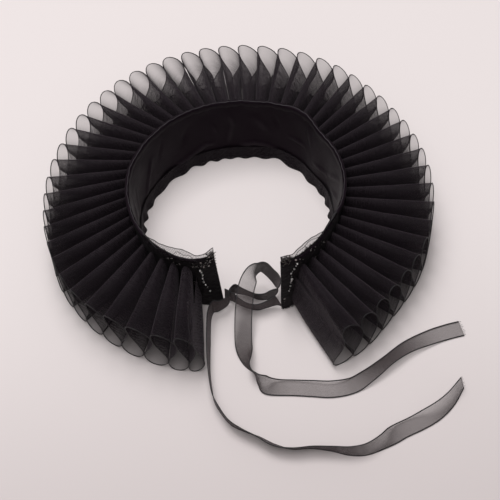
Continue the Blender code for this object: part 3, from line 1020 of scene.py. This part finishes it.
# %% Satin
def satin_material(name, colour):
    """Dull black satin: a soft sheen, a fine slanting weave, paler rubbed places at random and painted
    highlights along the creases.
    """
    material, tree, shader = new_material(name, colour, 0.5, {
        "Sheen Weight": 0.02,
        "Sheen Roughness": 0.4,
        "Specular IOR Level": 0.055,
        "Specular Tint": (1.0, 0.72, 0.92, 1.0),
    })
    spot = cloth_place(tree)
    u, v, _w = axes_of(tree, spot)
    slant = u + v * 0.6
    weave = (slant * (2 * math.pi / (0.9 * MM))).math("SINE")
    rub = add_node(tree, "ShaderNodeTexNoise", vector=spot, scale=95.0, detail=4.0, roughness=0.65)
    # Painted highlight: the paler colour is also laid along the inner wall's creases, where their ridges
    # catch the light.
    painted_crease_highlight = mark_of(tree, "painted_crease_highlight")
    feed(tree, rub * 0.35 + 0.30, shader.inputs["Roughness"])
    pale = add_node(tree, "ShaderNodeMix", settings={"data_type": "RGBA"},
                    factor=(rub - 0.42).math("MULTIPLY", 0.8).math("MAXIMUM", 0.0) + painted_crease_highlight,
                    a=(*colour, 1.0), b=(0.019, 0.0145, 0.0178, 1.0))
    feed(tree, pale, shader.inputs["Base Color"])
    add_relief(tree, shader, 0.35, 0.00025, weave * 0.3 + rub * 2.0)
    return material


satin = satin_material("black_satin", (0.0064, 0.0036, 0.0058))

# %% Creases
CREASES = Table(
    "start_round start_height end_round end_height width depth",
    (144, 8.5, 152, 9.2, 1.3, 1.3),
    (152, 9.2, 160, 11.5, 1.3, 1.5),
    (160, 11.5, 166, 15.0, 1.5, 1.5),
    (166, 15.0, 171, 14.2, 1.2, 1.0),
    (190, 10.5, 198, 12.2, 1.3, 1.3),
    (198, 12.2, 206, 10.0, 1.3, 1.4),
    (206, 10.0, 214, 5.8, 1.4, 1.2),
    (182, 36.0, 184, 28.0, 1.6, 0.8),
    (184, 28.0, 181, 13.0, 1.8, 0.9),
    (219, 22.0, 231, 21.8, 1.1, 1.1),
    (242, 17.5, 253, 19.2, 1.3, 1.1),
    (253, 19.2, 268, 32.8, 1.4, 1.0),
    (126, 30.0, 118, 17.5, 1.4, 1.1),
    (118, 17.5, 114, 9.8, 1.5, 1.0),
    (197, 33.0, 206, 22.0, 2.4, 0.8),
    (155, 33.0, 150, 22.0, 2.4, -0.7),
    (171, 30.0, 174, 22.0, 1.5, 0.6),
    (95, 33.0, 86, 12.0, 1.9, 1.0),
    (104, 26.0, 99, 9.0, 1.5, 0.7),
    (70, 30.0, 60, 17.0, 2.0, 0.8),
    (284, 30.0, 279, 10.0, 2.0, 0.9),
    (262, 14.0, 272, 20.0, 1.4, 0.8),
    (306, 27.0, 318, 16.0, 1.9, 0.8),
    (232, 38.0, 236, 28.0, 1.4, 0.8),
    (136, 37.0, 131, 24.0, 1.6, -0.6),
    (209, 36.0, 212, 27.0, 1.5, -0.6),
)


def crease_depth(angle, height):
    """How far the creases push the inner wall inwards at each place, in metres."""
    radius = BAND_PLAN.at(angle, "top") * math.pi / 180
    depth = np.zeros(np.broadcast(angle, height).shape)
    for start, low, end, high, width, push in CREASES.rows:
        run = (end - start) * radius
        rise = high - low
        x = (angle - start) * radius
        y = height / MM - low
        share = np.clip((x * run + y * rise) / (run**2 + rise**2), 0, 1)
        away = np.hypot(x - share * run, y - share * rise)
        taper = 0.35 + 0.65 * np.sin(np.pi * np.clip(share, 0.05, 0.95))
        depth += push * taper * np.exp(-((away / width) ** 2))
    return depth * MM


# %% Neckband
BAND_WALL = 1.6 * MM
FOLD_WALL = 2.4 * MM
BINDING = 3.4 * MM
BAND_COLUMNS = 420
BAND_ROWS = 34
TOP_BEND = 214.0

BAND_TOP = Table(
    "round top",
    (15, 46.5),
    (22, 45.6),
    (27, 44.4),
    (32, 44.0),
    (42, 44.2),
    (50, 45.4),
    (62, 46.0),
    (110, 45.8),
    (150, 46.3),
    (180, 46.5),
    (200, 46.0),
    (250, 46.2),
    (300, 46.0),
    (322, 46.8),
    (336, 46.8),
    (346, 46.0),
)


def band_top(angle):
    """The height of the band's top edge, with the little waves of a sewn fold, in metres."""
    waves = sum(size * np.sin(angle * pace + shift)
                for size, pace, shift in ((0.13, 0.31, 0.0), (0.10, 0.83, 1.3), (0.07, 1.7, 0.4)))
    return (BAND_TOP.at(angle, "top") + waves + 0.5 * top_bend(angle)) * MM


def top_bend(angle):
    """One soft S in the top edge, right of its middle, from -1 to 1."""
    return np.sin((angle - TOP_BEND) / 4.0) * np.exp(-(((angle - TOP_BEND) / 8.0) ** 2))


def band_outline(column):
    """Distance out and height at each point of the section, up the outside and down the inside."""
    half = BAND_WALL / 2
    binding = BINDING + 0.45 * MM * math.sin(column * 0.31) + 0.3 * MM * math.sin(column * 0.83)
    shoulder = BAND_HEIGHT - binding
    fold = FOLD_WALL / 2
    outer = [(half, z) for z in np.linspace(0.0, shoulder, BAND_ROWS)]
    rounded = [(fold, shoulder + 0.35 * MM), (fold, BAND_HEIGHT - 1.0 * MM)]
    rounded += [(fold * math.cos(t), BAND_HEIGHT - 1.0 * MM + MM * math.sin(t)) for t in (0.5, 1.0, 1.35)]
    side = outer + rounded
    return side + [(-out, z) for out, z in reversed(side)]


def make_neckband():
    rings, places, painted_crease_highlight = [], [], []
    run = 0.0
    last = None
    for column, share in enumerate(np.linspace(0.0, 1.0, BAND_COLUMNS)):
        outline = np.array(band_outline(column))
        out, height = outline[:, 0], outline[:, 1]
        up = height / BAND_HEIGHT
        start = BAND_START[1] + (BAND_START[0] - BAND_START[1]) * up
        end = BAND_END[1] + (BAND_END[0] - BAND_END[1]) * up
        angle = start + (end - start) * share
        height = height * band_top(angle) / BAND_HEIGHT
        sway = 0.35 * MM * np.sin(angle * 0.21 + 1.0) * np.sin(height / MM * 0.13 + angle * 0.05)
        ease = np.clip((BAND_HEIGHT - BINDING - height) / (4 * MM), 0, 1)
        crease = crease_depth(angle, height) * (out < 0)
        # Painted highlight: the creases are marked for a paler satin colour where they push deepest,
        # standing in for the light along them.
        painted_crease_highlight.append(np.clip(crease / MM - 0.25, 0, 1) * 1.1)
        inward = (crease + sway * (out < 0)) * ease
        ring = band_point(angle, height, out - inward)
        if last is not None:
            run += float(np.linalg.norm(ring[0] - last))
        last = ring[0]
        rings.append(ring)
        places += [(run, h) for h in height]
    mesh = strip_mesh("neckband_satin", np.array(rings), places)
    mark(mesh, "painted_crease_highlight", np.concatenate(painted_crease_highlight))
    mesh.materials.append(satin)
    return add_object("neckband_satin", mesh)


neckband = settle(make_neckband(), "neckband")
print("neckband wall:", len(neckband.data.polygons), "faces")

# %% Piping

piping_thread = thread_material("piping_thread", (0.030, 0.026, 0.029), 0.5)
angle = np.linspace(BAND_START[0] + 0.3, BAND_END[0] - 0.3, 500)
sway = 0.17 * np.sin(angle * 0.37) + 0.12 * np.sin(angle * 1.13 + 2.0) + 0.8 * top_bend(angle) - 0.35
piping_line = band_point(angle, band_top(angle) - 0.1 * MM, sway * MM)
piping_mesh = line_mesh("band_piping", piping_line)
band_piping = add_thread("band_piping", piping_mesh, 0.21 * MM, piping_thread)

# %% [markdown]
# ## The band's edging
# A narrow organza edge stands inside the foot of the neckband and runs out in small uneven
# waves, which show against the floor. It is a sheet on a grid: round the band in one
# direction, from the fold down to the wavy edge in the other.

# %% Edging
FRILL_HEIGHT = 9.0 * MM
FRILL_SPREAD = 0.5 * MM
FRILL_WAVE = 0.8 * MM
FRILL_WAVES = 25
FRILL_DRIFT = 2.4
FRILL_DRIFTS = 4
FRILL_INSET = 2.0
FRILL_ROWS = 8


def frill_grid():
    share = np.linspace(0.0, 1.0, FRILL_WAVES * 22 + 1)
    start = BAND_START[1] + FRILL_INSET
    end = BAND_END[1] - FRILL_INSET
    angle = start + (end - start) * share
    drift = FRILL_DRIFT * np.sin(2 * np.pi * FRILL_DRIFTS * share)
    wave = np.sin(2 * np.pi * FRILL_WAVES * share + drift) * (1 + 0.4 * np.sin(2 * np.pi * 5.3 * share))
    top_out = -(BAND_WALL / 2 + SEAM_GAP + 0.5 * MM)
    columns = []
    for down in np.linspace(0.0, 1.0, FRILL_ROWS):
        height = np.full_like(angle, (FRILL_HEIGHT - 0.2 * MM) * (1 - down) + 0.2 * MM)
        out = top_out + (FRILL_WAVE * wave - FRILL_SPREAD) * down**1.4
        columns.append(band_point(angle, height, out))
    return np.stack(columns, axis=1)


edging_mesh = sheet_mesh("band_edging", frill_grid(), edging)
band_edging = settle(add_object("band_edging", edging_mesh), "band_frill")
edging_selvedge = add_thread("edging_selvedge", edging_mesh, 0.22 * MM, selvedge_thread)
print("edging:", len(edging_mesh.polygons), "faces")

# %% [markdown]
# ## Lace ends
# Over both ends of the neckband lies a piece of black lace. Its motif is nearly solid, and its
# open net edge leans in over the fold and stands above it. Each lace is one sheet with a mark,
# named folded, that says where the motif lies. The motif lets hardly any light through, and
# the net between is a pattern of thin threads in the alpha of the sheet, because real holes of
# a millimetre would need far too many faces.

# %% Net
def net_material(name, colour, pitch, line):
    """Lace: slanting threads are solid, meshes are clear, and the motif is nearly solid."""
    material, tree, shader = new_material(
        name, colour, 0.6, {"Sheen Weight": 0.02, "Specular IOR Level": 0.12})
    spot = cloth_place(tree)
    bend = add_node(tree, "ShaderNodeTexNoise", vector=spot, scale=180.0, detail=1.0)
    u, v = (part / pitch for part in axes_of(tree, spot)[:2])
    cover = None
    for x in (u + v * 0.7 + bend, u - v * 0.7 + bend * 0.6):
        away = (x * math.pi).math("SINE").math("ABSOLUTE")
        thread = (away * -1.0 + line).math("MULTIPLY", 9.0).clamp(0.27, 0.9)
        cover = thread if cover is None else cover.math("MAXIMUM", thread)
    cover = cover.math("MAXIMUM", mark_of(tree, "folded") * 0.96)
    feed(tree, cover, shader.inputs["Alpha"])
    petals = add_node(tree, "ShaderNodeTexVoronoi", settings={"feature": "SMOOTH_F1"},
                      vector=spot, scale=420.0)
    add_relief(tree, shader, 0.8, 0.0006, petals)
    return material


net = net_material("black_net", (0.0055, 0.0035, 0.0045), 1.5 * MM, 0.20)

# %% Lace sheets
LACE_STANDOFF = 2.0 * MM
LACE_FOOT = 1.0 * MM
LACE_COLUMNS = 90
LACE_ROWS = 44
LACE_LEAN = 3.4 * MM
LACE_BEND = 43.5 * MM
LACE_LEFT = Table(
    "round top motif",
    (16, 51.0, 51.0),
    (22, 50.6, 49.8),
    (26, 48.6, 46.8),
    (31, 47.8, 44.6),
    (36, 50.3, 44.4),
    (42, 50.6, 44.6),
    (48, 49.8, 45.4),
    (55, 49.0, 46.0),
    (62, 47.0, 46.2),
)
LACE_RIGHT = Table(
    "round top motif",
    (300, 46.8, 46.4),
    (310, 47.6, 46.6),
    (316, 48.6, 47.0),
    (320, 50.0, 47.6),
    (325, 51.8, 48.6),
    (330, 52.0, 49.4),
    (334, 51.4, 47.8),
    (338, 49.6, 48.0),
    (342, 49.8, 49.8),
    (347, 49.6, 49.6),
)


def lace_spot(edge, start, end, share, rise, out=LACE_STANDOFF):
    """A place on a lace end: a share of its length, and a share of its height."""
    top = edge.at(start[0] + (end[0] - start[0]) * share, "top") * MM
    height = LACE_FOOT + (top - LACE_FOOT) * rise
    up = np.minimum(height / BAND_HEIGHT, 1.0)
    first = start[1] + (start[0] - start[1]) * up
    last = end[1] + (end[0] - end[1]) * up
    angle = first + (last - first) * share
    over = np.clip((height - LACE_BEND) / (7 * MM), 0, 1.2)
    return angle, height, out - LACE_LEAN * over


def make_lace(name, edge, start, end, node):
    share, rise = np.meshgrid(np.linspace(0, 1, LACE_COLUMNS), np.linspace(0, 1, LACE_ROWS), indexing="ij")
    pucker = 0.18 * MM * np.sin(share * 41.0) * np.sin(rise * 17.0 + share * 9.0)
    angle, height, out = lace_spot(edge, start, end, share, rise, LACE_STANDOFF + pucker)
    mesh = sheet_mesh(name, band_point(angle, height, out), net)
    motif = edge.at(angle, "motif") + 0.5 * np.sin(angle * 2.1) + 0.3 * np.sin(angle * 5.3)
    solid = np.clip((motif - height / MM) / 0.8 + 0.5, 0, 1)
    mark(mesh, "folded", solid.ravel())
    return settle(add_object(name, mesh), node)


left_ends = (BAND_START, (LACE_LEFT_END, LACE_LEFT_END))
right_ends = ((LACE_RIGHT_START, LACE_RIGHT_START), BAND_END)
lace_left = make_lace("lace_net_left", LACE_LEFT, *left_ends, "lace_left")
lace_right = make_lace("lace_net_right", LACE_RIGHT, *right_ends, "lace_right")
print("lace:", len(lace_left.data.polygons), "faces at each end")

# %% The net's outlines
OUTLINE_THREAD = 0.26 * MM
FOLD_THREAD = 0.16 * MM

for side, piece in (("left", lace_left), ("right", lace_right)):
    add_thread("lace_outline_" + side, piece.data, OUTLINE_THREAD, selvedge_thread)


def line_on_lace(name, edge, ends, shares, rises):
    """A thread that wanders over the net, through a few places."""
    t = np.linspace(0, 1, 60)
    place = np.linspace(0, 1, len(shares))
    share = np.interp(t, place, shares)
    rise = np.interp(t, place, rises)
    angle, height, out = lace_spot(edge, *ends, share, rise, LACE_STANDOFF + 0.1 * MM)
    line = line_mesh(name, band_point(angle, height, out))
    add_thread(name, line, FOLD_THREAD, selvedge_thread)


line_on_lace("net_fold_left", LACE_LEFT, left_ends,
             (0.22, 0.30, 0.38, 0.46, 0.54, 0.64, 0.74, 0.88),
             (0.93, 0.97, 0.94, 0.97, 0.90, 0.96, 0.92, 0.97))
line_on_lace("net_fold_right", LACE_RIGHT, right_ends,
             (0.40, 0.50, 0.60, 0.70, 0.78, 0.86), (0.96, 0.97, 0.985, 0.965, 0.975, 0.95))

# %% [markdown]
# ## Sequins, beads and picots
# Small shapes that are sewn on repeat many times, so one tree places them. It takes points
# that each carry a turn and a size, puts a disc, a ball or a ring of a few dozen faces on each,
# and makes the copies real. The points come from short tables: a cluster is scattered round a
# place with a fixed seed, and a row of beads follows a few places in order.

# %% The sewn shapes' tree
def build_sewn(shape, inputs):
    tree, given = new_tree("sewn_" + shape, inputs)
    if shape == "disc":
        item = add_node(tree, "GeometryNodeMeshCylinder", vertices=given["Sides"],
                        radius=given["Radius"], depth=given["Thickness"])
    elif shape == "ball":
        item = add_node(tree, "GeometryNodeMeshUVSphere", segments=given["Sides"], rings=5,
                        radius=given["Radius"])
    else:
        line = circle(tree, given["Sides"], given["Radius"])
        profile = circle(tree, 3, given["Thickness"])
        item = add_node(tree, "GeometryNodeCurveToMesh", curve=line, profile_curve=profile)
    aimed = add_node(tree, "FunctionNodeEulerToRotation", euler=stored(tree, "turn", "FLOAT_VECTOR"))
    points = add_node(tree, "GeometryNodeMeshToPoints", mesh=given["Geometry"])
    placed = add_node(tree, "GeometryNodeInstanceOnPoints", points=points, instance=item,
                      rotation=aimed, scale=stored(tree, "size"))
    finish_tree(tree, placed, given["Material"])
    return tree


def sew_on(name, shape, places, sizes, radius, thickness, sides, material, tilt, seed):
    """Sews a shape on at each place, which is an angle, a height and a distance out."""
    chance = np.random.default_rng(seed)
    angle, height, out = (np.array(column, float) for column in zip(*places))
    spots = band_point(angle, height * MM, out * MM)
    aims = band_point(angle, height * MM, (out + 1.0) * MM) - spots
    turns = []
    for aim in aims:
        lean = aim / MM + chance.uniform(-tilt, tilt, 3)
        spin = Matrix.Rotation(chance.uniform(0, 3.1), 3, "Z")
        turned = Vector(lean).to_track_quat("Z", "Y").to_matrix() @ spin
        turns.append(tuple(turned.to_euler()))
    mesh = plain_mesh(name, spots)
    mark(mesh, "turn", np.array(turns).ravel(), "FLOAT_VECTOR")
    mark(mesh, "size", sizes)
    inputs = {
        "Radius": ("Float", radius),
        "Thickness": ("Float", thickness),
        "Sides": ("Int", sides),
        "Material": ("Material", material),
    }
    settle(grow(name, mesh, build_sewn(shape, inputs), inputs))


def bright_material(name, colour, dark, roughness, metallic):
    """Polished little shapes: each one's gloss and tone vary a little from place to place."""
    material, tree, shader = new_material(name, colour, roughness)
    spot = add_node(tree, "ShaderNodeTexCoord", output=3)
    vary = add_node(tree, "ShaderNodeTexNoise", vector=spot, scale=700.0, detail=1.0)
    feed(tree, vary * 0.4 + (roughness - 0.2), shader.inputs["Roughness"])
    share = ((vary - 0.5) * 5.0 + 0.35).clamp(0.0, 1.0)
    tone = add_node(tree, "ShaderNodeMix", settings={"data_type": "RGBA"}, factor=share,
                    a=tuple(c * dark for c in colour) + (1.0,), b=(*colour, 1.0))
    feed(tree, tone, shader.inputs["Base Color"])
    shader.inputs["Metallic"].default_value = metallic
    return material


sequin_black = bright_material("black_sequin", (0.42, 0.38, 0.37), 0.03, 0.35, 0.9)
bead_silver = bright_material("silver_bead", (0.90, 0.88, 0.86), 0.45, 0.3, 0.9)

# %% Sequins
SEQUIN_CLUSTERS = Table(
    "round height spread_round spread_height count",
    (29.0, 42.0, 3.2, 1.9, 40),
    (24.4, 45.6, 1.8, 2.2, 40),
    (35.5, 30.5, 1.6, 3.4, 22),
    (32.0, 24.0, 0.8, 1.2, 8),
    (40.0, 41.0, 1.4, 1.0, 4),
    (43.5, 43.6, 1.4, 0.7, 4),
    (325.8, 37.0, 1.0, 1.0, 3),
    (335.5, 44.5, 1.6, 1.3, 7),
    (326.0, 45.6, 1.6, 0.9, 6),
    (320.0, 44.0, 1.4, 0.9, 5),
    (341.5, 48.4, 1.6, 0.7, 9),
    (343.3, 10.8, 0.6, 1.6, 5),
    (341.0, 1.4, 1.6, 0.5, 8),
)
chance = np.random.default_rng(11)
sequin_places = []
for round_at, height_at, wide, tall, count in SEQUIN_CLUSTERS.rows:
    for _ in range(int(count)):
        angle = round_at + wide * chance.uniform(-1.4, 1.4)
        height = height_at + tall * chance.uniform(-1.4, 1.4)
        over = LACE_LEAN / MM * np.clip((height - LACE_BEND / MM) / 7, 0, 1.2)
        sequin_places.append((angle, height, 2.45 - over))
sizes = chance.uniform(0.5, 1.2, len(sequin_places))
sew_on("sequins", "disc", sequin_places, sizes, 0.55 * MM, 0.12 * MM, 7,
       sequin_black, 0.9, 5)

# %% Beads
BEAD_ROWS = Table(
    "round height size",
    (29.2, 36.4, 1.1),
    (28.6, 34.6, 0.7),
    (28.2, 32.0, 1.0),
    (28.1, 29.8, 0.6),
    (28.0, 28.4, 0.9),
    (27.6, 25.2, 1.1),
    (26.6, 22.0, 0.8),
    (25.6, 19.6, 0.6),
    (24.2, 15.5, 0.8),
    (337.0, 43.8, 0.8),
    (337.6, 42.2, 0.6),
    (338.5, 39.8, 0.9),
    (339.4, 37.6, 0.7),
    (340.0, 36.0, 0.9),
    (339.8, 33.2, 0.6),
    (339.5, 30.2, 1.2),
    (339.8, 28.8, 0.8),
    (340.0, 27.0, 0.8),
    (340.2, 23.5, 0.8),
    (340.6, 20.6, 0.5),
    (340.8, 18.8, 0.7),
)
bead_places = [(angle, height, 2.6) for angle, height, _size in BEAD_ROWS.rows]
sew_on("beads", "ball", bead_places, BEAD_ROWS.rows[:, 2], 0.72 * MM, 0.0, 8,
       bead_silver, 0.2, 7)

# %% Picots
picot_places = [(BAND_END[1] + 0.8 * h / 46.0, h, 2.0) for h in np.arange(2.0, 47.0, 2.4)]
picot_places += [(angle, 1.2, 2.2) for angle in np.arange(334.0, 344.0, 1.6)]
picot_places += [(18.6 + 3.4 * h / 46.0, h, 2.0) for h in np.arange(30.0, 50.0, 2.6)]
sew_on("picots", "ring", picot_places, [1.0] * len(picot_places), 0.7 * MM, 0.16 * MM, 8,
       selvedge_thread, 0.3, 9)

# %% [markdown]
# ## Frayed ends
# At the right end the lace is cut and rolled, and a few threads stand out of the roll. Each is
# a line of four points, and the thread tree gives it a thin round body.

# %% Frayed threads
FRAY_COUNT = 46
FRAY_REACH = np.array([1.5, 1.1, 1.0])
FRAY_BOW = 0.9


def fray_mesh(name):
    chance = np.random.default_rng(21)
    points, pairs = [], []
    for k in range(FRAY_COUNT):
        upper = k % 3 != 2
        angle = chance.uniform(339.5, 344.8) if upper else chance.uniform(22.0, 25.0)
        height = chance.uniform(45.5, 48.5 if upper else 50.0) * MM
        start = band_point(angle, height, chance.uniform(-0.5, 2.2) * MM)
        reach = chance.uniform(-1.0, 1.0, 3) * FRAY_REACH * MM
        bow = chance.uniform(-1.0, 1.0, 3) * FRAY_BOW * MM
        for t in (0.0, 0.35, 0.7, 1.0):
            points.append(start + reach * t + bow * t * (1 - t) * 2)
        first = len(points) - 4
        pairs += [(first, first + 1), (first + 1, first + 2), (first + 2, first + 3)]
    mesh = plain_mesh(name, points, pairs)
    mark(mesh, "hem", [True] * len(points), "BOOLEAN")
    return mesh


fray_brown = thread_material("fray_thread", (0.045, 0.036, 0.030), 0.5)
add_thread("frayed_threads", fray_mesh("frayed_threads"), 0.15 * MM, fray_brown)

# %% [markdown]
# ## What each sheet was cut from
# For every sheet of cloth a line is printed with how large it was cut and how many square
# centimetres of faces it has. The ruffle's length is its area divided by its width, so it follows the mesh.

# %% Cut sizes
BAND_LENGTH = 0.35
EDGING_CUT = (0.010, 0.36)
LACE_LEFT_CUT = (0.050, 0.043)
LACE_RIGHT_CUT = (0.050, 0.049)


def face_area(mesh):
    """The area of a mesh, in square metres."""
    areas = np.zeros(len(mesh.polygons))
    mesh.polygons.foreach_get("area", areas)
    return float(areas.sum())


def note_sheet(piece, flat):
    cut = "%.0f x %.0f mm" % (flat[0] / MM, flat[1] / MM)
    print(piece.name, "is cut", cut, "and has %.0f square cm of faces" % (face_area(piece.data) * 1e4))


ruffle_length = round(face_area(ruffle.data) / RUFFLE_WIDTH, 2)
note_sheet(ruffle, (RUFFLE_WIDTH, ruffle_length))
note_sheet(neckband, (BAND_HEIGHT, BAND_LENGTH))
note_sheet(band_edging, EDGING_CUT)
note_sheet(lace_left, LACE_LEFT_CUT)
note_sheet(lace_right, LACE_RIGHT_CUT)
